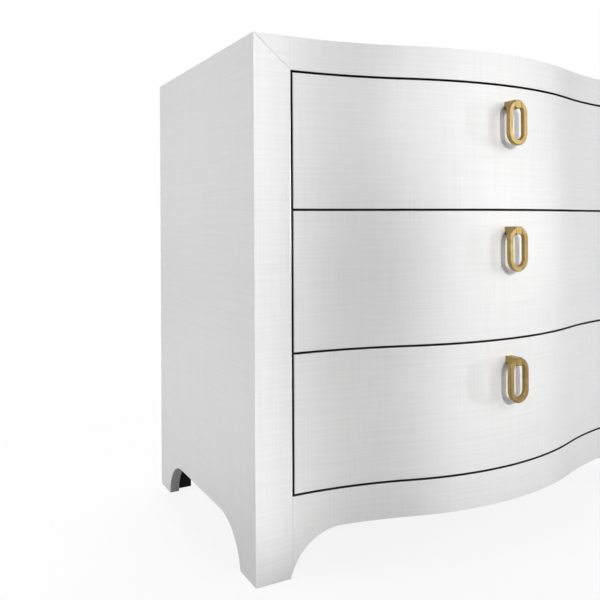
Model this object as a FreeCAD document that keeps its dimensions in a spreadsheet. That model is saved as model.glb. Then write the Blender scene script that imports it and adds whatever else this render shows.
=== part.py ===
import FreeCAD, Part
import math
import os
import Sketcher
from types import SimpleNamespace

# Serpentine-front chest of three drawers on bracket feet.
# X runs across the front, +Y to the back, +Z up.
# The origin is on the floor, at the middle of the whole box, pulls included.

# Driving dimensions in millimetres, with shares of other sizes last.
DIMENSIONS = (
    ("case_width", 762, "outside width over the two sides"),
    ("side_depth", 400, "depth of a side, from front corner to back"),
    ("bulge", 60, "how far the middle of the front stands ahead of the corners"),
    ("flat_end", 24, "flat stretch of the front beside each corner"),
    ("board", 16, "thickness of the case boards"),
    ("stile_width", 53, "width of a front stile"),
    ("top_rail_height", 44, "height of the top rail"),
    ("bottom_rail_height", 49, "height of the bottom rail at its middle"),
    ("underside_lift", 58, "height of the arches above the floor"),
    ("top_front_height", 179, "height of the top drawer front"),
    ("middle_front_height", 186, "height of the middle drawer front"),
    ("bottom_front_height", 183, "height of the bottom drawer front"),
    ("drawer_gap", 3, "gap round each drawer front"),
    ("front_foot_width", 50.5, "front foot at the floor, seen from the front"),
    ("front_arch_radius", 78, "radius of the arch ends in the bottom rail"),
    ("side_foot_width", 50, "front foot at the floor, seen from the side"),
    ("side_arch_radius", 71, "radius of the side arch at the front foot"),
    ("back_foot_width", 49, "back foot at the floor"),
    ("back_arch_radius", 60, "radius of the side arch at the back foot"),
    ("back_thickness", 8, "thickness of the back panel"),
    ("bottom_rise", 22, "bottom panel above the arches' height"),
    ("block_width", 24, "foot block across the chest"),
    ("front_block_depth", 30, "front foot block along the side"),
    ("back_block_depth", 43, "back foot block along the side"),
    ("block_lift", 2, "foot blocks clear of the floor"),
    ("cleat", 20, "section of the square cleats"),
    ("cleat_setback", 30, "cleats short of the panels at their ends"),
    ("divider_thickness", 18, "height of a divider"),
    ("divider_depth", 60, "divider behind the hollow ends of the front"),
    ("divider_clearance", 2, "divider behind the drawer fronts"),
    ("front_thickness", 18, "thickness of a drawer front"),
    ("box_board", 12, "thickness of the drawer sides and back"),
    ("box_lift", 14, "drawer sides above the lower edge of their front"),
    ("box_drop", 35, "drawer sides below the upper edge of their front"),
    ("base_thickness", 6, "thickness of a drawer bottom"),
    ("base_rise", 10, "drawer bottom above the lower edge of its sides"),
    ("groove_depth", 6, "groove for the drawer bottom"),
    ("groove_clearance", 0.2, "play of the drawer bottom in its groove"),
    ("packer_height", 60, "height of a slide packer"),
    ("slide_height", 45, "height of a slide"),
    ("slide_thickness", 12.7, "space for a slide between packer and drawer"),
    ("slide_sheet", 1.2, "sheet thickness of the slide members"),
    ("slide_clearance", 0.3, "running clearance between slide members"),
    ("slide_flange", 8.5, "width of the flanges of a slide member"),
    ("slide_setback", 8, "slides behind the back of the stiles"),
    ("slide_end_gap", 18, "slides ahead of the back panel"),
    ("slide_rise", 45, "slide centre above the lower edge of the drawer sides"),
    ("screw_radius", 1.8, "shank of a slide screw"),
    ("screw_head_radius", 3.5, "head of a slide screw"),
    ("screw_head_height", 2, "head height of a drawer slide screw"),
    ("screw_bite", 9, "slide screw in the wood"),
    ("screw_clearance", 0.1, "play round a screw in its hole"),
    ("post_size", 11.5, "square section of a pull post"),
    ("post_length", 22, "pull post ahead of the drawer front"),
    ("post_chamfer", 0.6, "chamfer round the end of a pull post"),
    ("pull_drop", 28.5, "pull post centre below the upper edge of its front"),
    ("ring_width", 37, "outside width of a pull ring"),
    ("ring_height", 65, "outside height of a pull ring"),
    ("ring_arm", 8.2, "width of the ring's arm, seen from the front"),
    ("ring_depth", 7, "depth of the ring, front to back"),
    ("ring_chamfer", 1.2, "chamfer on the ring's edges"),
    ("ring_clearance", 0.3, "gap between the ring's ends and the post"),
    ("pin_radius", 1.5, "radius of the pull pin"),
    ("pin_seat", 4, "pull pin in each end of the ring"),
    ("pin_fit", 0.05, "radial clearance round the pull pin"),
    ("bolt_radius", 2, "shank of the pull screw"),
    ("bolt_bite", 10, "pull screw in the post"),
    ("bolt_head_radius", 4, "head of the pull screw"),
    ("bolt_head_height", 2.5, "head height of the pull screw"),
    ("overrun", 5, "cutting shapes past the faces that they cut"),
    ("concave_share", 0.55, "share of the serpentine radius in the hollow arcs"),
    ("fore_screw_share", 0.14, "front slide screw along the slide"),
    ("aft_screw_share", 0.8, "back slide screw along the slide"),
)

doc = FreeCAD.newDocument("serpentine_chest")
sheet = doc.addObject("Spreadsheet::Sheet", "Sizes")
for row, (alias, number, meaning) in enumerate(DIMENSIONS, start=1):
    sheet.set(f"A{row}", meaning)
    sheet.set(f"B{row}", str(number))
    sheet.setAlias(f"B{row}", alias)
doc.recompute()


class Size:
    """A size as the text of an expression on the sheet, with the number it stands for now."""

    def __init__(self, text, number):
        self.text = text
        self.number = number

    def __add__(self, other):
        other = as_size(other)
        return Size(f"({self.text} + {other.text})", self.number + other.number)

    def __sub__(self, other):
        other = as_size(other)
        return Size(f"({self.text} - {other.text})", self.number - other.number)

    def __mul__(self, other):
        other = as_size(other)
        return Size(f"({self.text} * {other.text})", self.number * other.number)

    def __truediv__(self, other):
        other = as_size(other)
        return Size(f"({self.text} / {other.text})", self.number / other.number)

    def __rmul__(self, other):
        return as_size(other) * self

    def __rsub__(self, other):
        return as_size(other) - self

    def __neg__(self):
        return Size(f"(0 - {self.text})", -self.number)

    def root(self):
        return Size(f"sqrt({self.text})", math.sqrt(self.number))


def as_size(value):
    return value if isinstance(value, Size) else Size(str(value), value)


s = SimpleNamespace(**{alias: Size(f"Sizes.{alias}", float(sheet.get(alias))) for alias, *_ in DIMENSIONS})
zero = as_size(0)


# Shapes bound to the sheet

def bind(item, path, size):
    item.setExpression(path, size.text)


def place(item, x, y, z):
    bind(item, "Placement.Base.x", x)
    bind(item, "Placement.Base.y", y)
    bind(item, "Placement.Base.z", z)


def block(label, x, y, z):
    """A box between low and high values on each axis."""
    item = doc.addObject("Part::Box", label)
    bind(item, "Length", x[1] - x[0])
    bind(item, "Width", y[1] - y[0])
    bind(item, "Height", z[1] - z[0])
    place(item, x[0], y[0], z[0])
    return item


LYING = {
    "X": FreeCAD.Rotation(FreeCAD.Vector(0, 1, 0), 90),
    "Y": FreeCAD.Rotation(FreeCAD.Vector(1, 0, 0), -90),
}


def rod(label, axis, radius, start, length):
    """A cylinder from a start point along +X or +Y."""
    item = doc.addObject("Part::Cylinder", label)
    item.Placement = FreeCAD.Placement(FreeCAD.Vector(), LYING[axis])
    bind(item, "Radius", radius)
    bind(item, "Height", length)
    place(item, *start)
    return item


def group(label, items):
    item = doc.addObject("Part::Compound", label)
    item.Links = items
    return item


def cut(label, base, tools):
    item = doc.addObject("Part::Cut", label)
    item.Base = base
    item.Tool = tools[0] if len(tools) == 1 else group(f"{label}_cutters", tools)
    return item


def common(label, base, tool):
    item = doc.addObject("Part::Common", label)
    item.Base = base
    item.Tool = tool
    return item


def join(label, first, second):
    item = doc.addObject("Part::Fuse", label)
    item.Base = first
    item.Tool = second
    return item


def turning(start, end, centre):
    """The angles of an arc that runs the short way between two points round a centre, counter-clockwise."""
    first = math.atan2(start[1] - centre[1], start[0] - centre[0])
    last = math.atan2(end[1] - centre[1], end[0] - centre[0])
    if (last - first) % (2 * math.pi) > math.pi:
        return last, first, True
    return first, last, False


def draw(sketch, outline):
    """Draw a closed outline of corners (u, v). Where an arc runs to the next, a corner adds radius and centre."""
    first_edge = sketch.GeometryCount
    corners = [tuple(size.number for size in corner[:2]) for corner in outline]
    normal = FreeCAD.Vector(0, 0, 1)
    starts = []
    for index, corner in enumerate(outline):
        here = corners[index]
        there = corners[(index + 1) % len(corners)]
        if len(corner) == 2:
            edge = Part.LineSegment(FreeCAD.Vector(*here, 0), FreeCAD.Vector(*there, 0))
            starts.append((1, 2))
        else:
            centre = tuple(size.number for size in corner[3])
            first, last, swapped = turning(here, there, centre)
            circle = Part.Circle(FreeCAD.Vector(*centre, 0), normal, corner[2].number)
            edge = Part.ArcOfCircle(circle, first, last if last > first else last + 2 * math.pi)
            starts.append((2, 1) if swapped else (1, 2))
        sketch.addGeometry(edge, False)
    for index, corner in enumerate(outline):
        edge = first_edge + index
        before = (index - 1) % len(outline)
        start = starts[index][0]
        last_end = (first_edge + before, starts[before][1])
        sketch.addConstraint(Sketcher.Constraint("Coincident", *last_end, edge, start))
        for kind, size in (("DistanceX", corner[0]), ("DistanceY", corner[1])):
            mark = sketch.addConstraint(Sketcher.Constraint(kind, -1, 1, edge, start, size.number))
            bind(sketch, f"Constraints[{mark}]", size)
        if len(corner) > 2:
            mark = sketch.addConstraint(Sketcher.Constraint("Radius", edge, corner[2].number))
            bind(sketch, f"Constraints[{mark}]", corner[2])


def prism(label, plane, outlines, low, high):
    """A body padded from closed outlines on an origin plane, between low and high along its axis."""
    body = doc.addObject("PartDesign::Body", label)
    sketch = body.newObject("Sketcher::SketchObject", f"{label}_sketch")
    origin_plane = [item for item in body.Origin.OriginFeatures if item.Role == plane][0]
    sketch.AttachmentSupport = [(origin_plane, "")]
    sketch.MapMode = "FlatFace"
    # The axis of the XZ plane points to -Y, so a prism on it starts at its high end.
    bind(sketch, "AttachmentOffset.Base.z", -high if plane == "XZ_Plane" else low)
    for outline in outlines:
        draw(sketch, outline)
    pad = body.newObject("PartDesign::Pad", f"{label}_pad")
    pad.Profile = sketch
    bind(pad, "Length", high - low)
    return body


def chamfer(body, size, chosen):
    """Chamfer the edges of a body whose boxes are chosen."""
    doc.recompute()
    pad = body.Tip
    edges = [f"Edge{index}" for index, edge in enumerate(pad.Shape.Edges, start=1) if chosen(edge.BoundBox)]
    easing = body.newObject("PartDesign::Chamfer", f"{body.Label}_chamfer")
    easing.Base = (pad, edges)
    bind(easing, "Size", size)


# Levels and places that several pieces share

half = s.case_width / 2
front = -((s.side_depth - s.bulge - s.post_length) / 2)
back = front + s.side_depth
crown = front - s.bulge
inner_side = half - s.board
opening = half - s.stile_width
rail_top = s.underside_lift + s.bottom_rail_height
bottom_front_z = rail_top + s.drawer_gap
middle_front_z = bottom_front_z + s.bottom_front_height + s.drawer_gap
top_front_z = middle_front_z + s.middle_front_height + s.drawer_gap
top_rail_z = top_front_z + s.top_front_height + s.drawer_gap
height = top_rail_z + s.top_rail_height
bottom_panel_z = s.underside_lift + s.bottom_rise
front_half = opening - s.drawer_gap
box_half = opening - s.slide_thickness
box_inner = box_half - s.box_board
groove_half = box_inner + s.groove_depth
slide_start = front + s.board + s.slide_setback
slide_end = back - s.back_thickness - s.slide_end_gap
slide_length = slide_end - slide_start

# The serpentine: a flat end, a hollow arc, then one full arc across the middle, all tangent.
wave_run = half - s.flat_end
wave_radius = (wave_run * wave_run + s.bulge * s.bulge) / (2 * s.bulge)
hollow_radius = s.concave_share * wave_radius
crown_radius = wave_radius - hollow_radius


def wave(setback):
    """Corners of the front curve, left to right, moved back by a setback."""
    y = front + setback
    reach = (hollow_radius + setback) / wave_radius
    turn_x = wave_run - reach * wave_run
    turn_y = front - hollow_radius + reach * (wave_radius - s.bulge)
    hollow_y = front - hollow_radius
    hollow = hollow_radius + setback
    return [
        (-half, y),
        (-wave_run, y, hollow, (-wave_run, hollow_y)),
        (-turn_x, turn_y, crown_radius - setback, (zero, crown + crown_radius)),
        (turn_x, turn_y, hollow, (wave_run, hollow_y)),
        (wave_run, y),
        (half, y),
    ]


def against(curve):
    """The same curve run from right to left."""
    backwards = []
    for index in range(len(curve) - 1, -1, -1):
        arc = curve[index - 1][2:] if index else ()
        backwards.append(curve[index][:2] + arc)
    return backwards


def shell(label, thickness):
    """The full serpentine front as one curved board."""
    return prism(label, "XY_Plane", [wave(zero) + against(wave(thickness))], zero, height)


def room_behind(label, setback):
    """All the room behind the front curve, back to the back of the case."""
    return prism(label, "XY_Plane", [wave(setback) + [(half, back), (-half, back)]], zero, height)


frame_shell = shell("frame_shell", s.board)
front_shell = shell("front_shell", s.front_thickness)
behind_frame = room_behind("behind_frame", s.board)
behind_fronts = room_behind("behind_fronts", s.front_thickness)
behind_dividers = room_behind("behind_dividers", s.front_thickness + s.divider_clearance)
behind_bases = room_behind("behind_bases", s.front_thickness - s.groove_depth + s.groove_clearance)
behind_grooves = room_behind("behind_grooves", s.front_thickness - s.groove_depth)

# Arches

def arch_run(radius):
    """How far an arch end reaches along the floor before it is level with the underside."""
    return (s.underside_lift * (2 * radius - s.underside_lift)).root()


def arch(label, plane, left, left_radius, right, right_radius, low, high):
    """A cutting shape under an arch that meets the floor at left and right."""
    left_top = left + arch_run(left_radius)
    right_top = right - arch_run(right_radius)
    outline = [
        (left, -s.overrun),
        (right, -s.overrun),
        (right, zero, right_radius, (right_top, s.underside_lift - right_radius)),
        (right_top, s.underside_lift),
        (left_top, s.underside_lift, left_radius, (left_top, s.underside_lift - left_radius)),
        (left, zero),
    ]
    return prism(label, plane, [outline], low, high)


# The depth of a cutting shape that passes right through the curved front frame
through_front = (crown - s.overrun, front + s.board + s.overrun)
front_arch = arch("front_arch", "XZ_Plane", -half + s.front_foot_width, s.front_arch_radius,
                  half - s.front_foot_width, s.front_arch_radius, *through_front)
side_arch = arch("side_arch", "YZ_Plane", front + s.side_foot_width, s.side_arch_radius,
                 back - s.back_foot_width, s.back_arch_radius, -half - s.overrun, half + s.overrun)

# Case

parts = []


def keep(item):
    parts.append(item)
    return item


HANDS = (("left", -1), ("right", 1))


def span(hand, low, high):
    """A stretch along X on one hand, from low to high away from the middle."""
    return (-high, -low) if hand < 0 else (low, high)


corner_wedges = []
for name, hand in HANDS:
    past = s.board + s.overrun
    corner_wedges.append(prism(f"{name}_corner_wedge", "XY_Plane", [[
        (hand * (half + s.overrun), front - s.overrun),
        (hand * (half + s.overrun), front + past),
        (hand * (half - past), front + past),
    ]], -s.overrun, height + s.overrun))

for name, hand in HANDS:
    board = prism(f"{name}_side_board", "XY_Plane", [[
        (hand * half, front),
        (hand * half, back),
        (hand * inner_side, back),
        (hand * inner_side, front + s.board),
    ]], zero, height)
    keep(cut(f"{name}_side", board, [side_arch]))

for name, hand in HANDS:
    outline = prism(f"{name}_stile_outline", "XZ_Plane", [[
        (hand * half, zero),
        (hand * opening, zero),
        (hand * opening, top_rail_z),
        (hand * half, height),
    ]], *through_front)
    strip = common(f"{name}_stile_strip", frame_shell, outline)
    keep(cut(f"{name}_stile", strip, [front_arch, corner_wedges[HANDS.index((name, hand))]]))

rail_outline = prism("top_rail_outline", "XZ_Plane", [[
    (-half, height),
    (-opening, top_rail_z),
    (opening, top_rail_z),
    (half, height),
]], *through_front)
keep(cut("top_rail", common("top_rail_strip", frame_shell, rail_outline), corner_wedges))

apron = block("bottom_rail_block", (-opening, opening), (crown, front + s.board), (zero, rail_top))
keep(cut("bottom_rail", common("bottom_rail_strip", frame_shell, apron), [front_arch]))

panel_x = (-inner_side, inner_side)
back_inner = back - s.back_thickness
top_board = block("top_panel_block", panel_x, (crown, back), (height - s.board, height))
keep(common("top_panel", behind_frame, top_board))
bottom_tall = (bottom_panel_z, bottom_panel_z + s.board)
bottom_board = block("bottom_panel_block", panel_x, (crown, back_inner), bottom_tall)
keep(common("bottom_panel", behind_frame, bottom_board))
keep(block("back_panel", panel_x, (back_inner, back), (bottom_panel_z, height - s.board)))
block_inner = inner_side - s.block_width
rail_tall = (s.underside_lift, bottom_panel_z)
keep(block("back_rail", (-block_inner, block_inner), (back - s.board, back), rail_tall))

foot_blocks = []
for name, hand in HANDS:
    across = span(hand, block_inner, inner_side)
    tall = (s.block_lift, bottom_panel_z)
    front_room = (front + s.board, front + s.board + s.front_block_depth)
    foot_blocks.append(block(f"{name}_front_block", across, front_room, tall))
    foot_blocks.append(block(f"{name}_back_block", across, (back - s.back_block_depth, back), tall))
keep(group("foot_blocks", foot_blocks))

for name, hand in HANDS:
    across = span(hand, inner_side - s.cleat, inner_side)
    top_along = (front + s.board + s.cleat_setback, back_inner - s.cleat_setback)
    keep(block(f"{name}_top_cleat", across, top_along, (height - s.board - s.cleat, height - s.board)))
    low_along = (front + s.board + s.front_block_depth, back - s.back_block_depth)
    keep(block(f"{name}_bottom_cleat", across, low_along, (bottom_panel_z - s.cleat, bottom_panel_z)))

for name, upper_z in (("upper", top_front_z), ("lower", middle_front_z)):
    middle = upper_z - s.drawer_gap / 2
    keep(common(f"{name}_divider", behind_dividers, block(
        f"{name}_divider_block", panel_x,
        (crown, front + s.front_thickness + s.divider_clearance + s.divider_depth),
        (middle - s.divider_thickness / 2, middle + s.divider_thickness / 2))))

# Drawers

DRAWERS = (
    ("top_drawer", top_front_z, s.top_front_height),
    ("middle_drawer", middle_front_z, s.middle_front_height),
    ("bottom_drawer", bottom_front_z, s.bottom_front_height),
)
SCREW_SHARES = (s.fore_screw_share, s.aft_screw_share)


def channel(label, hand, web, lip, centre_z, reach):
    """A slide member: a sheet channel along Y with its web at one X and its flanges' lips at another."""
    inward = s.slide_sheet if web.number < lip.number else -s.slide_sheet
    low = centre_z - reach
    high = centre_z + reach
    return prism(label, "XZ_Plane", [[
        (hand * web, low),
        (hand * lip, low),
        (hand * lip, low + s.slide_sheet),
        (hand * (web + inward), low + s.slide_sheet),
        (hand * (web + inward), high - s.slide_sheet),
        (hand * lip, high - s.slide_sheet),
        (hand * lip, high),
        (hand * web, high),
    ]], slide_start, slide_end)


def outward(hand, low, high):
    """Start and length along +X of a rod between two distances from the middle."""
    return (low if hand > 0 else -high), high - low


def slide_screw(label, hand, shank, head, y, z):
    """A screw across the chest: shank and head each run between two distances from the middle."""
    rods = []
    for kind, radius, stretch in (("shank", s.screw_radius, shank), ("head", s.screw_head_radius, head)):
        start, length = outward(hand, *stretch)
        rods.append(rod(f"{label}_{kind}", "X", radius, (start, y, z), length))
    return join(label, *rods)


def screw_holes(label, hand, radius, stretch, z):
    """A hole at each slide screw's place, between two distances from the middle."""
    start, length = outward(hand, *stretch)
    return [rod(f"{label}_{index}", "X", radius, (start, slide_start + share * slide_length, z), length)
            for index, share in enumerate(SCREW_SHARES, start=1)]


packers = {"left": [], "right": []}
case_screws = []


def case_slide(drawer, name, hand, z):
    """The packer and the case member on one hand, with countersunk screws flush in the web."""
    label = f"{drawer}_{name}"
    bore = s.screw_radius + s.screw_clearance
    packer = block(f"{label}_packer_block", span(hand, opening, inner_side), (front + s.board, back_inner),
                   (z - s.packer_height / 2, z + s.packer_height / 2))
    bite = (opening, opening + s.screw_bite + s.screw_clearance)
    holes = screw_holes(f"{label}_packer_hole", hand, bore, bite, z)
    packers[name].append(cut(f"{label}_packer", packer, holes))
    web = (opening - s.slide_sheet, opening)
    for index, share in enumerate(SCREW_SHARES, start=1):
        y = slide_start + share * slide_length
        shank = (opening - s.slide_sheet, opening + s.screw_bite)
        case_screws.append(slide_screw(f"{label}_case_screw_{index}", hand, shank, web, y, z))
    lip = opening - s.slide_flange
    member = channel(f"{label}_case_channel", hand, opening, lip, z, s.slide_height / 2)
    seat = s.screw_head_radius + s.screw_clearance
    return cut(f"{label}_case_slide", member, screw_holes(f"{label}_case_hole", hand, seat, web, z))


step = s.slide_sheet + s.slide_clearance
for drawer, z0, front_height in DRAWERS:
    box_z = z0 + s.box_lift
    box_top = z0 + front_height - s.box_drop
    base_z = box_z + s.base_rise
    base_top = base_z + s.base_thickness
    slide_z = box_z + s.slide_rise
    groove_z = (base_z - s.groove_clearance / 2, base_top + s.groove_clearance / 2)

    # Slides
    keep(group(f"{drawer}_case_slides", [case_slide(drawer, name, hand, slide_z) for name, hand in HANDS]))
    web_x = opening - step
    keep(group(f"{drawer}_intermediate_slides", [
        channel(f"{drawer}_{name}_intermediate_slide", hand, web_x, web_x - s.slide_flange, slide_z,
                s.slide_height / 2 - step) for name, hand in HANDS]))
    drawer_members = []
    drawer_screws = []
    web = (box_half, box_half + s.slide_sheet)
    for name, hand in HANDS:
        label = f"{drawer}_{name}_drawer_slide"
        member = channel(f"{label}_channel", hand, box_half, box_half + s.slide_flange, slide_z,
                         s.slide_height / 2 - 2 * step)
        bore = s.screw_radius + s.screw_clearance
        drawer_members.append(cut(label, member, screw_holes(f"{label}_hole", hand, bore, web, slide_z)))
        for index, share in enumerate(SCREW_SHARES, start=1):
            drawer_screws.append(slide_screw(
                f"{label}_screw_{index}", hand, (box_half - s.screw_bite, web[1]),
                (web[1], web[1] + s.screw_head_height), slide_start + share * slide_length, slide_z))
    keep(group(f"{drawer}_drawer_slides", drawer_members))
    keep(group(f"{drawer}_slide_screws", drawer_screws))

    # Box
    for name, hand in HANDS:
        label = f"{drawer}_{name}"
        board = common(f"{label}_board", behind_fronts, block(
            f"{label}_block", span(hand, box_inner, box_half), (front, slide_end), (box_z, box_top)))
        groove = block(f"{label}_groove", span(hand, box_inner, groove_half), (crown, slide_end), groove_z)
        bite = (box_half - s.screw_bite - s.screw_clearance, box_half)
        holes = screw_holes(f"{label}_hole", hand, s.screw_radius + s.screw_clearance, bite, slide_z)
        keep(cut(label, board, [groove] + holes))
    back_along = (slide_end - s.box_board, slide_end)
    keep(block(f"{drawer}_back", (-box_inner, box_inner), back_along, (base_top, box_top)))
    base_half = groove_half - s.groove_clearance
    keep(common(f"{drawer}_bottom", behind_bases, block(
        f"{drawer}_bottom_block", (-base_half, base_half), (crown, slide_end), (base_z, base_top))))

    # Front, with a groove for the bottom and a hole for the pull screw
    pull_z = z0 + front_height - s.pull_drop
    front_along = (crown, front + s.front_thickness)
    strip = common(f"{drawer}_front_strip", front_shell, block(
        f"{drawer}_front_block", (-front_half, front_half), front_along, (z0, z0 + front_height)))
    groove = common(f"{drawer}_front_groove", behind_grooves, block(
        f"{drawer}_front_groove_block", (-groove_half, groove_half), front_along, groove_z))
    bolt_bore = s.bolt_radius + s.screw_clearance
    hole = rod(f"{drawer}_front_hole", "Y", bolt_bore, (zero, crown - s.overrun, pull_z),
               s.front_thickness + 2 * s.overrun)
    keep(cut(f"{drawer}_front", strip, [groove, hole]))

    # Pull post, pin and screw
    post_y = crown - s.post_length
    post_half = s.post_size / 2
    stub = prism(f"{drawer}_post_stub", "XZ_Plane", [[
        (-post_half, pull_z - post_half),
        (post_half, pull_z - post_half),
        (post_half, pull_z + post_half),
        (-post_half, pull_z + post_half),
    ]], post_y, crown)
    chamfer(stub, s.post_chamfer, lambda box: abs(box.YMax - post_y.number) < s.pin_fit.number)
    pin_y = post_y + s.ring_depth / 2
    pin_half = post_half + s.ring_clearance + s.pin_seat
    pin_bore = s.pin_radius + s.pin_fit
    post_cross = rod(f"{drawer}_post_cross", "X", pin_bore, (-s.post_size, pin_y, pull_z), 2 * s.post_size)
    bore_end = crown - s.bolt_bite - s.screw_clearance
    post_bore = rod(f"{drawer}_post_bore", "Y", bolt_bore, (zero, bore_end, pull_z), s.bolt_bite + s.overrun)
    keep(cut(f"{drawer}_pull_post", stub, [post_cross, post_bore]))
    keep(rod(f"{drawer}_pull_pin", "X", s.pin_radius, (-pin_half, pin_y, pull_z), 2 * pin_half))
    head_y = crown + s.front_thickness + s.screw_clearance
    shank = rod(f"{drawer}_bolt_shank", "Y", s.bolt_radius, (zero, crown - s.bolt_bite, pull_z),
                head_y - crown + s.bolt_bite)
    head = rod(f"{drawer}_bolt_head", "Y", s.bolt_head_radius, (zero, head_y, pull_z), s.bolt_head_height)
    keep(join(f"{drawer}_pull_screw", shank, head))

    # Pull ring, parted at the top where it straddles the post
    ring_top = pull_z + post_half
    ring_foot = ring_top - s.ring_height
    outlines = []
    for inset in (zero, s.ring_arm):
        bend = s.ring_width / 2 - inset
        upper = ring_top - s.ring_width / 2
        lower = ring_foot + s.ring_width / 2
        outlines.append([
            (bend, lower),
            (bend, upper, bend, (zero, upper)),
            (zero, upper + bend, bend, (zero, upper)),
            (-bend, upper),
            (-bend, lower, bend, (zero, lower)),
            (zero, lower - bend, bend, (zero, lower)),
        ])
    link = prism(f"{drawer}_ring_link", "XZ_Plane", outlines, post_y, post_y + s.ring_depth)
    chamfer(link, s.ring_chamfer, lambda box: box.YLength < s.pin_fit.number)
    gap_half = post_half + s.ring_clearance
    gap_along = (post_y - s.overrun, post_y + s.ring_depth + s.overrun)
    gap = block(f"{drawer}_ring_gap", (-gap_half, gap_half), gap_along,
                (ring_top - s.ring_width / 2, ring_top + s.overrun))
    ring_seat = pin_half + s.ring_clearance
    bore = rod(f"{drawer}_ring_bore", "X", pin_bore, (-ring_seat, pin_y, pull_z), 2 * ring_seat)
    keep(cut(f"{drawer}_pull_ring", link, [gap, bore]))

for name, _ in HANDS:
    keep(group(f"{name}_packers", packers[name]))
keep(group("case_slide_screws", case_screws))

# Every object and every piece is sound before anything is written.
doc.recompute()
for item in doc.Objects:
    faults = [word for word in item.State if word in ("Invalid", "Error")]
    if faults:
        raise RuntimeError(f"{item.Label} failed: {faults}")
for item in parts:
    if item.Shape.isNull() or not item.Shape.isValid() or not item.Shape.Solids:
        raise RuntimeError(f"{item.Label} has no sound shape")

os.makedirs("parts", exist_ok=True)
for item in parts:
    item.Shape.exportStep(f"parts/{item.Label}.step")
    print(f"{item.Label}: {len(item.Shape.Solids)} solids, {item.Shape.Volume / 1000:.1f} cm3")
print(f"{len(parts)} nodes, height {height.number:.1f} mm, slide length {slide_length.number:.1f} mm")
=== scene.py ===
import math

import bmesh
import bpy
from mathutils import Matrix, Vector


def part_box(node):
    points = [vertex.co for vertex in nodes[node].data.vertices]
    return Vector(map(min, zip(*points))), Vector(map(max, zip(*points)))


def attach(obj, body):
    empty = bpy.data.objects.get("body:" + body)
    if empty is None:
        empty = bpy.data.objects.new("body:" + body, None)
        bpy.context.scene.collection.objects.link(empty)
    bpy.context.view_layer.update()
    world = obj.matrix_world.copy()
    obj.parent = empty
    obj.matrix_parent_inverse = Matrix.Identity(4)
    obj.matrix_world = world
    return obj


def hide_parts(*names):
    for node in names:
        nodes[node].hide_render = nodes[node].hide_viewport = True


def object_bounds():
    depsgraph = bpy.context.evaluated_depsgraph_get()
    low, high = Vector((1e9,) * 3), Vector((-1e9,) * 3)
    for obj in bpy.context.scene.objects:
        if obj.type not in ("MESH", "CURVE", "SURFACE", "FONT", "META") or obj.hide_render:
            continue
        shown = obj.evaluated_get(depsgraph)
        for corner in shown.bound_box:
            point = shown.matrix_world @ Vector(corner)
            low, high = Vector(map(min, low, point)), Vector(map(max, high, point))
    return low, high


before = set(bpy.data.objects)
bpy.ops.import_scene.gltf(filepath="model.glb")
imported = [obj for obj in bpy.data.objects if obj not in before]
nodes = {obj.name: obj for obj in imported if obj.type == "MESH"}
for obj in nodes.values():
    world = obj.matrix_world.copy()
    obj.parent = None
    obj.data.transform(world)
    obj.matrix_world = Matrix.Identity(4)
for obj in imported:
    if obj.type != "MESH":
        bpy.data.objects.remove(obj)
cad_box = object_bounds()

X, Y, Z = range(3)
MM = 0.001
DRAWERS = ("top_drawer", "middle_drawer", "bottom_drawer")
HANDS = ("left", "right")


# Finishes

class Value:
    """A number that varies over a surface, as a socket. Arithmetic on it adds Math nodes."""

    def __init__(self, shader, socket):
        self.shader = shader
        self.socket = socket

    def math(self, operation, *terms):
        return self.shader.node("ShaderNodeMath", {"operation": operation}, dict(enumerate(terms)))

    def __add__(self, other):
        return self.math("ADD", self, other)

    def __sub__(self, other):
        return self.math("SUBTRACT", self, other)

    def __rsub__(self, other):
        return self.math("SUBTRACT", other, self)

    def __mul__(self, other):
        return self.math("MULTIPLY", self, other)

    __radd__ = __add__
    __rmul__ = __mul__

    def sine(self):
        return self.math("SINE", self)

    def between(self, low, high):
        """0 at low, 1 at high, and a smooth step from one to the other."""
        return self.shader.node(
            "ShaderNodeMapRange",
            {"interpolation_type": "SMOOTHSTEP"},
            {"Value": self, "From Min": low, "From Max": high},
        )

    def other(self, name):
        """Another output of the node that this value comes from."""
        return Value(self.shader, self.socket.node.outputs[name])


class Shader:
    """The node tree of a material or a world."""

    def __init__(self, owner):
        owner.use_nodes = True
        self.tree = owner.node_tree
        self.tree.nodes.clear()

    def node(self, kind, settings=None, inputs=None, output=0):
        """Adds a node, sets it up, fills or links its inputs, and returns one of its outputs."""
        made = self.tree.nodes.new(kind)
        for name, value in (settings or {}).items():
            setattr(made, name, value)
        for name, value in (inputs or {}).items():
            if isinstance(value, Value):
                self.tree.links.new(value.socket, made.inputs[name])
            else:
                made.inputs[name].default_value = value
        return Value(self, made.outputs[output]) if made.outputs else None

    def shown(self, gloss_share):
        """1 where the camera or clear glass sees the background, and less where a reflection does."""
        ray = self.node("ShaderNodeLightPath", output="Is Camera Ray")
        return ray + ray.other("Is Glossy Ray") * gloss_share + ray.other("Is Transmission Ray")


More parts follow.
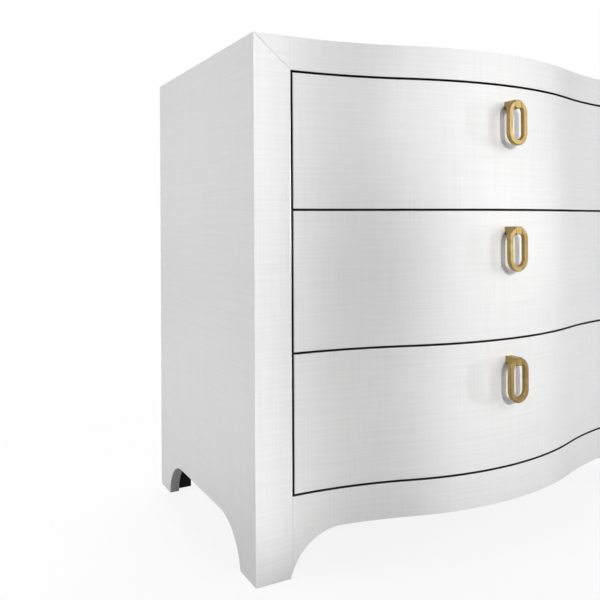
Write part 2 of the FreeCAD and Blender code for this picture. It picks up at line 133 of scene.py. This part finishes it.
class Finish(Shader):
    """A procedural material on Object coordinates."""

    def __init__(self, name):
        self.material = bpy.data.materials.new(name)
        super().__init__(self.material)
        self.place = self.node("ShaderNodeTexCoord", output="Object")

    def axes(self):
        """The three Object coordinates of a point, in metres."""
        across = self.node("ShaderNodeSeparateXYZ", inputs={"Vector": self.place}, output="X")
        return across, across.other("Y"), across.other("Z")

    def noise(self, lumps, detail, roughness=0.5, distortion=0.0):
        """Noise between 0 and 1 with so many lumps to the metre along each axis."""
        place = self.node("ShaderNodeMapping", inputs={"Vector": self.place, "Scale": lumps})
        return self.node(
            "ShaderNodeTexNoise",
            inputs={
                "Vector": place,
                "Scale": 1.0,
                "Detail": detail,
                "Roughness": roughness,
                "Distortion": distortion,
            },
        )

    def blend(self, share, first, second):
        """The first colour where share is 0 and the second where it is 1."""
        first, second = (c if isinstance(c, Value) else (*c, 1) for c in (first, second))
        return self.node("ShaderNodeMix", {"data_type": "RGBA"}, {0: share, 6: first, 7: second}, 2)

    def relief(self, height, depth, strength):
        """A normal bent by a height between 0 and 1 that stands for depth metres."""
        inputs = {"Height": height, "Distance": depth, "Strength": strength}
        return self.node("ShaderNodeBump", inputs=inputs)

    def surface(self, **inputs):
        """Closes the material with a Principled BSDF and returns it."""
        named = {name.replace("_", " "): value for name, value in inputs.items()}
        shader = self.node("ShaderNodeBsdfPrincipled", inputs=named)
        self.node("ShaderNodeOutputMaterial", inputs={"Surface": shader})
        return self.material


def drawn_out(along, lumps_along, lumps):
    """Lumps to the metre on each axis, with fewer of them along one axis."""
    scale = [lumps] * 3
    scale[along] = lumps_along
    return scale


LINEN_SHADES = ((0.800, 0.800, 0.798), (0.885, 0.885, 0.882))
BIRCH_SHADES = ((0.62, 0.45, 0.27), (0.76, 0.60, 0.41))
BRASS_SHADES = ((0.300, 0.208, 0.077), (0.470, 0.340, 0.142))
THREADS_PER_METRE = 1150.0
THREAD_WANDER = 2.0
DULL_STEEL = 0.78


def thread_noise(finish, along, across):
    """Thick and thin places in threads that run on one axis and lie side by side on another."""
    lumps = drawn_out(along, 9.0, 30.0)
    lumps[across] = 430.0
    return finish.noise(lumps, detail=3.0, roughness=0.6)


def linen(name, along, up, coat, roughness):
    """White lacquered linen: fine threads along two axes, with slubs, under a satin coat."""
    finish = Finish(name)
    axes = finish.axes()
    weft = thread_noise(finish, along, up)
    warp = thread_noise(finish, up, along)
    turn = math.pi * THREADS_PER_METRE
    uprights = (axes[along] * turn + warp * THREAD_WANDER).sine()
    levels = (axes[up] * turn + weft * THREAD_WANDER).sine()
    weave = uprights * levels
    slubs = (weft + warp) * 0.5
    tone = slubs.between(0.28, 0.72) * 0.85 + weave * 0.08
    return finish.surface(
        Base_Color=finish.blend(tone, *LINEN_SHADES),
        Roughness=roughness - slubs * 0.10,
        Specular_IOR_Level=0.5,
        Coat_Weight=coat,
        Coat_Roughness=0.30,
        Normal=finish.relief(slubs * 0.75 + weave * 0.25, 0.10 * MM, 0.5),
    )


def paint(name, pale, deep, roughness):
    """Brushed paint: faint streaks and a little unevenness between two shades."""
    finish = Finish(name)
    streaks = finish.noise((60.0, 60.0, 240.0), detail=4.0)
    specks = finish.noise((900.0, 900.0, 900.0), detail=2.0)
    return finish.surface(
        Base_Color=finish.blend(streaks * 0.7 + specks * 0.3, deep, pale),
        Roughness=roughness + streaks * 0.15,
        Normal=finish.relief(streaks * 0.5 + specks * 0.5, 0.10 * MM, 0.4),
    )


def birch(name, along):
    """Pale birch under clear lacquer, its grain running along one axis."""
    finish = Finish(name)
    fibres = finish.noise(drawn_out(along, 12.0, 420.0), detail=4.0, roughness=0.6)
    figure = finish.noise(drawn_out(along, 2.2, 26.0), detail=5.0, roughness=0.55, distortion=1.2)
    rings = (figure * 60.0).sine() * 0.5 + 0.5
    return finish.surface(
        Base_Color=finish.blend(rings * 0.45 + fibres * 0.55, *BIRCH_SHADES),
        Roughness=0.42 + fibres * 0.16,
        Coat_Weight=0.15,
        Coat_Roughness=0.3,
        Normal=finish.relief(fibres, 0.08 * MM, 0.5),
    )


def steel(name, colour, roughness):
    """Zinc-plated steel, drawn lengthways, with a cloudy plating."""
    finish = Finish(name)
    drawn = finish.noise(drawn_out(Y, 12.0, 700.0), detail=3.0)
    cloud = finish.noise((45.0, 45.0, 45.0), detail=4.0)
    dull = tuple(DULL_STEEL * c for c in colour)
    return finish.surface(
        Base_Color=finish.blend(cloud * 0.6 + drawn * 0.4, dull, colour),
        Metallic=1.0,
        Roughness=roughness + drawn * 0.15,
        Normal=finish.relief(drawn, 0.03 * MM, 0.4),
    )


def brass_finish():
    """Satin brass, brushed lengthways and toned a little darker in patches."""
    finish = Finish("satin_brass")
    brushed = finish.noise(drawn_out(Z, 60.0, 1800.0), detail=3.0, roughness=0.6)
    toned = finish.noise((110.0, 110.0, 110.0), detail=5.0, roughness=0.6)
    share = toned.between(0.30, 0.70) * 0.6 + brushed * 0.4
    return finish.surface(
        Base_Color=finish.blend(share, *BRASS_SHADES),
        Metallic=1.0,
        Roughness=0.36 + brushed * 0.14,
        Normal=finish.relief(brushed * 0.6 + toned * 0.4, 0.06 * MM, 0.5),
    )


front_linen = linen("linen_front", X, Z, coat=0.8, roughness=0.44)
side_linen = linen("linen_side", Y, Z, coat=0.8, roughness=0.44)
top_linen = linen("linen_top", X, Y, coat=0.1, roughness=0.70)
# Near-black paint on the drawer fronts' edges, inside the sides and on the frame towards the drawers:
# painted shade that makes the gaps read black
painted_gap_shade = paint("painted_gap_shade", (0.030, 0.029, 0.028), (0.012, 0.012, 0.012), roughness=0.70)
# Black paint under the top, on the foot blocks and on the inner parts; on the dividers behind the gaps it
# is also painted shade that keeps the gaps black
dark_paint = paint("dark_paint", (0.034, 0.033, 0.032), (0.016, 0.016, 0.016), roughness=0.65)
white_paint = paint("white_paint", (0.83, 0.83, 0.82), (0.74, 0.74, 0.73), roughness=0.50)
birch_across = birch("birch_across", X)
birch_deep = birch("birch_deep", Y)
slide_steel = steel("slide_steel", (0.62, 0.63, 0.64), roughness=0.32)
screw_steel = steel("screw_steel", (0.58, 0.57, 0.55), roughness=0.28)
brass = brass_finish()


# Pieces

WELD = 0.01 * MM
NEAR = 0.05 * MM
SHORTEST_EASED = 3 * MM
# In square metres: a broader face is shaded flat
BROAD_FACE = 0.01
FLAT = math.radians(0.1)
CREASE = math.radians(15)
SHARP = math.radians(30)
SIDE_EASE = 0.7 * MM
FRAME_EASE = 0.5 * MM
FACE_EASE = 0.7 * MM
BOARD_EASE = 0.8 * MM

# How much of a face's normal points one way
FORWARD = 0.3
BACKWARD = 0.5
LEVEL = 0.7
SLANTED = 0.5
INWARD = 0.2

half_width = cad_box[1].x
top_height = cad_box[1].z
front_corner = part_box("left_side")[0].y
arch_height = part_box("bottom_panel")[0].z


def merged_copy(node):
    """A CAD node's mesh with its triangles merged and its flat faces joined up again."""
    shape = bmesh.new()
    shape.from_mesh(nodes[node].data)
    bmesh.ops.remove_doubles(shape, verts=shape.verts, dist=WELD)
    bmesh.ops.dissolve_limit(shape, angle_limit=FLAT, verts=shape.verts, edges=shape.edges)
    return shape


def ease(shape, wanted, size):
    """Rounds the sharp edges that are wanted, but not the rims of screw holes."""
    edges = [
        edge for edge in shape.edges
        if edge.calc_length() > SHORTEST_EASED and edge.calc_face_angle(0) > SHARP and wanted(edge)
    ]
    bmesh.ops.bevel(
        shape,
        geom=edges,
        offset=size,
        offset_type="OFFSET",
        segments=2,
        profile=0.5,
        affect="EDGES",
        clamp_overlap=False,
        material=-1,
    )


def finished(name, shape, finishes, pick, body, node):
    """Makes a shape into a piece that stands for a CAD node, with a finish picked for each face."""
    shape.normal_update()
    for face in shape.faces:
        face.smooth = face.calc_area() < BROAD_FACE
        face.material_index = finishes.index(pick(face))
    for edge in shape.edges:
        edge.smooth = edge.calc_face_angle(math.pi) < CREASE
    mesh = bpy.data.meshes.new(name)
    shape.to_mesh(mesh)
    shape.free()
    for material in finishes:
        mesh.materials.append(material)
    piece = bpy.data.objects.new(name, mesh)
    bpy.context.scene.collection.objects.link(piece)
    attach(piece, body)
    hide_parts(node)


def faces_front(face):
    return face.normal.y < -FORWARD


def on_front(edge):
    """An edge of the waved front: one of its faces looks forward."""
    return any(faces_front(face) for face in edge.link_faces)


def at_side(edge):
    """An edge that lies in the outside face of a side."""
    return all(abs(vert.co.x) > half_width - NEAR for vert in edge.verts)


def at_corner(edge):
    """The upright corner where a side meets the front, which the linen wraps round."""
    return at_side(edge) and all(vert.co.y < front_corner + NEAR for vert in edge.verts)


def side_edge(edge):
    return at_side(edge) and not at_corner(edge)


def frame_edge(edge):
    return on_front(edge) and not at_corner(edge)


def any_edge(edge):
    return True


def side_finish(face):
    """Linen outside, on the top and round the arch, and near-black painted shade inside."""
    if face.normal.z > LEVEL:
        return top_linen
    inside = face.normal.x * face.calc_center_median().x < -INWARD * half_width
    return painted_gap_shade if inside else side_linen


def frame_finish(face):
    """Linen in front, on the top, round the arch and in the mitres, and near-black painted shade towards
    the drawers.
    """
    middle = face.calc_center_median()
    if face.normal.z > LEVEL and middle.z > top_height - MM:
        return top_linen
    mitre = abs(face.normal.x) > SLANTED and abs(face.normal.z) > SLANTED
    return front_linen if faces_front(face) or mitre or middle.z < arch_height else painted_gap_shade


def top_finish(face):
    """Linen above and round the edges, and paint underneath."""
    return dark_paint if face.normal.z < -LEVEL else top_linen


def drawer_face_finish(face):
    """Linen in front, birch behind and near-black painted shade round the edges."""
    if faces_front(face):
        return front_linen
    return birch_across if face.normal.y > BACKWARD else painted_gap_shade


for hand in HANDS:
    node = f"{hand}_side"
    shape = merged_copy(node)
    ease(shape, side_edge, SIDE_EASE)
    panel = (side_linen, top_linen, painted_gap_shade)
    finished(f"{hand}_side_panel", shape, panel, side_finish, "case", node)

for node in ("left_stile", "right_stile", "top_rail", "bottom_rail"):
    shape = merged_copy(node)
    ease(shape, frame_edge, FRAME_EASE)
    board = (front_linen, top_linen, painted_gap_shade)
    finished(f"{node}_board", shape, board, frame_finish, "case", node)

shape = merged_copy("top_panel")
board = (top_linen, dark_paint)
finished("top_board", shape, board, top_finish, "case", "top_panel")

for drawer in DRAWERS:
    node = f"{drawer}_front"
    shape = merged_copy(node)
    ease(shape, on_front, FACE_EASE)
    board = (front_linen, birch_across, painted_gap_shade)
    finished(f"{drawer}_face", shape, board, drawer_face_finish, drawer, node)
    for place, wood in (("left", birch_deep), ("right", birch_deep), ("back", birch_across)):
        node = f"{drawer}_{place}"
        shape = merged_copy(node)
        ease(shape, any_edge, BOARD_EASE)
        finished(f"{node}_board", shape, (wood,), lambda face: wood, drawer, node)
    for metal, name, body in (("pull_post", "post", drawer), ("pull_ring", "ring_link", f"{drawer}_ring")):
        node = f"{drawer}_{metal}"
        shape = merged_copy(node)
        finished(f"{drawer}_{name}", shape, (brass,), lambda face: brass, body, node)


# CAD nodes that keep their shape

NODE_FINISHES = {
    "back_panel": white_paint,
    "back_rail": white_paint,
    "bottom_panel": dark_paint,
    "foot_blocks": dark_paint,
    # The dividers behind the gaps take the black paint, which also paints shade into the gaps
    "upper_divider": dark_paint,
    "lower_divider": dark_paint,
    "case_slide_screws": screw_steel,
}
for hand in HANDS:
    NODE_FINISHES[f"{hand}_top_cleat"] = dark_paint
    NODE_FINISHES[f"{hand}_bottom_cleat"] = dark_paint
    NODE_FINISHES[f"{hand}_packers"] = dark_paint
for drawer in DRAWERS:
    NODE_FINISHES[f"{drawer}_bottom"] = birch_across
    NODE_FINISHES[f"{drawer}_slide_screws"] = screw_steel
    NODE_FINISHES[f"{drawer}_pull_screw"] = screw_steel
    NODE_FINISHES[f"{drawer}_pull_pin"] = brass
    for slide in ("case", "intermediate", "drawer"):
        NODE_FINISHES[f"{drawer}_{slide}_slides"] = slide_steel
for node, material in NODE_FINISHES.items():
    for place in nodes[node].material_slots:
        place.material = material


# Floor, light and camera

WHITE = (1.0, 1.0, 1.0, 1.0)
FLOOR_SIZE = 12.0
FLOOR_LIT_SHADES = ((0.33, 0.33, 0.33), (0.37, 0.37, 0.37))
FLOOR_SHOWN_SHADES = ((0.90, 0.90, 0.90), (0.93, 0.93, 0.93))
FLOOR_GLOSS_SHARE = 0.15
BACKDROP_GLOSS_SHARE = 0.22
SHADOW_DEPTH = 0.12
SHADOW_REACH = (0.6, 1.6)
EVEN_LIGHT = 0.12


def studio_floor():
    """A pale floor that reads as white where nothing shades it."""
    shape = bmesh.new()
    bmesh.ops.create_grid(shape, x_segments=1, y_segments=1, size=FLOOR_SIZE)
    mesh = bpy.data.meshes.new("floor")
    shape.to_mesh(mesh)
    shape.free()
    floor = bpy.data.objects.new("floor", mesh)
    bpy.context.scene.collection.objects.link(floor)
    finish = Finish("floor_paper")
    shown = finish.shown(FLOOR_GLOSS_SHARE)
    grain = finish.noise((40.0, 40.0, 40.0), detail=3.0)
    lit_paper = finish.blend(grain, *FLOOR_LIT_SHADES)
    shown_paper = finish.blend(grain, *FLOOR_SHOWN_SHADES)
    paper = finish.node(
        "ShaderNodeBsdfPrincipled",
        inputs={"Base Color": finish.blend(shown, lit_paper, shown_paper), "Roughness": 0.9},
    )
    reach = finish.node("ShaderNodeVectorMath", {"operation": "LENGTH"}, {0: finish.place}, "Value")
    white = finish.node("ShaderNodeEmission", inputs={"Color": WHITE, "Strength": 1.0})
    share = shown * (1 - SHADOW_DEPTH + reach.between(*SHADOW_REACH) * SHADOW_DEPTH)
    both = finish.node("ShaderNodeMixShader", inputs={0: share, 1: paper, 2: white})
    finish.node("ShaderNodeOutputMaterial", inputs={"Surface": both})
    mesh.materials.append(finish.material)


def studio_world():
    """Even light from all round, and a white backdrop where the camera or a reflection sees it."""
    world = bpy.data.worlds.new("studio")
    bpy.context.scene.world = world
    backdrop = Shader(world)
    shown = backdrop.shown(BACKDROP_GLOSS_SHARE)
    even = backdrop.node("ShaderNodeBackground", inputs={"Color": WHITE, "Strength": EVEN_LIGHT})
    white = backdrop.node("ShaderNodeBackground", inputs={"Color": WHITE, "Strength": 1.0})
    both = backdrop.node("ShaderNodeMixShader", inputs={0: shown, 1: even, 2: white})
    backdrop.node("ShaderNodeOutputWorld", inputs={"Surface": both})


def hang(lamp, place, aim):
    """Puts a lamp in its place, turned to a point and out of the camera's sight."""
    holder = bpy.data.objects.new(lamp.name, lamp)
    bpy.context.scene.collection.objects.link(holder)
    holder.location = place
    holder.rotation_euler = (Vector(aim) - Vector(place)).to_track_quat("-Z", "Y").to_euler()
    holder.visible_camera = False


def softbox(name, place, aim, width, height, power, spread=180):
    """A rectangular area lamp at a place in metres, aimed at a point, its beam spread in degrees."""
    lamp = bpy.data.lights.new(name, "AREA")
    lamp.shape = "RECTANGLE"
    lamp.size = width
    lamp.size_y = height
    lamp.energy = power
    lamp.spread = math.radians(spread)
    hang(lamp, place, aim)


def spotlight(name, place, aim, radius, power, cone):
    """A small round lamp at a place in metres, aimed at a point, its soft-edged cone in degrees."""
    lamp = bpy.data.lights.new(name, "SPOT")
    lamp.shadow_soft_size = radius
    lamp.energy = power
    lamp.spot_size = math.radians(cone)
    lamp.spot_blend = 1.0
    hang(lamp, place, aim)


FRONT = (0.0, -0.1, 0.4)
LEFT_STILE = (-0.41, -0.16, 0.39)
LEFT_FOOT = (-0.40, -0.16, 0.12)
LEFT_SIDE = (-0.38, 0.04, 0.35)
RIGHT_SIDE = (0.38, 0.04, 0.35)
TOP = (0.0, 0.1, 0.7)
# Spots that throw the sharp shadows of the pulls: name, place, aim, power
PULL_SPOTS = (
    ("top_spot", (-0.76, -3.24, 1.05), (0.05, -0.24, 0.66), 166),
    ("middle_spot", (-0.76, -3.24, 1.45), (0.05, -0.24, 0.43), 60),
    ("bottom_spot", (-0.76, -3.24, 1.35), (0.08, -0.24, 0.19), 200),
)

studio_floor()
studio_world()
for name, place, aim, power in PULL_SPOTS:
    spotlight(name, place, aim, radius=0.10, power=power, cone=13)
softbox("front_fill", (1.60, -4.30, 2.40), FRONT, width=6.0, height=3.6, power=84)
softbox("right_fill", (3.50, -3.40, 1.70), FRONT, width=5.2, height=4.0, power=52)
softbox("stile_strip", (1.05, -0.80, 0.39), LEFT_STILE, width=0.10, height=0.76, power=0.38, spread=7)
softbox("foot_light", (1.05, -0.80, 0.25), LEFT_FOOT, width=0.2, height=0.2, power=0.03, spread=12)
softbox("left_fill", (-1.60, 0.25, 0.65), LEFT_SIDE, width=0.8, height=0.8, power=12.9)
softbox("top_fill", (0.10, 0.90, 2.20), TOP, width=1.0, height=1.0, power=12)
softbox("right_side_fill", (1.55, 0.75, 0.75), RIGHT_SIDE, width=0.8, height=0.8, power=13)
softbox("back_fill", (0.60, 2.40, 0.90), FRONT, width=1.4, height=1.2, power=27)

PHOTO_SIDE = 600
FOCAL_PIXELS = 675.48
MIDDLE_PIXEL = (298.36, 221.42)
SENSOR = 36.0
CAMERA_PLACE = (-0.7430, -0.9418, 0.4682)
CAMERA_TURN = (math.pi / 2, 0.0051, -0.49851)

lens = bpy.data.cameras.new("photo_camera")
lens.sensor_width = SENSOR
lens.lens = SENSOR * FOCAL_PIXELS / PHOTO_SIDE
lens.shift_x = (PHOTO_SIDE / 2 - MIDDLE_PIXEL[0]) / PHOTO_SIDE
lens.shift_y = (MIDDLE_PIXEL[1] - PHOTO_SIDE / 2) / PHOTO_SIDE
camera = bpy.data.objects.new("photo_camera", lens)
bpy.context.scene.collection.objects.link(camera)
camera.location = CAMERA_PLACE
camera.rotation_euler = CAMERA_TURN
bpy.context.scene.camera = camera

bpy.context.scene.view_settings.view_transform = "Standard"
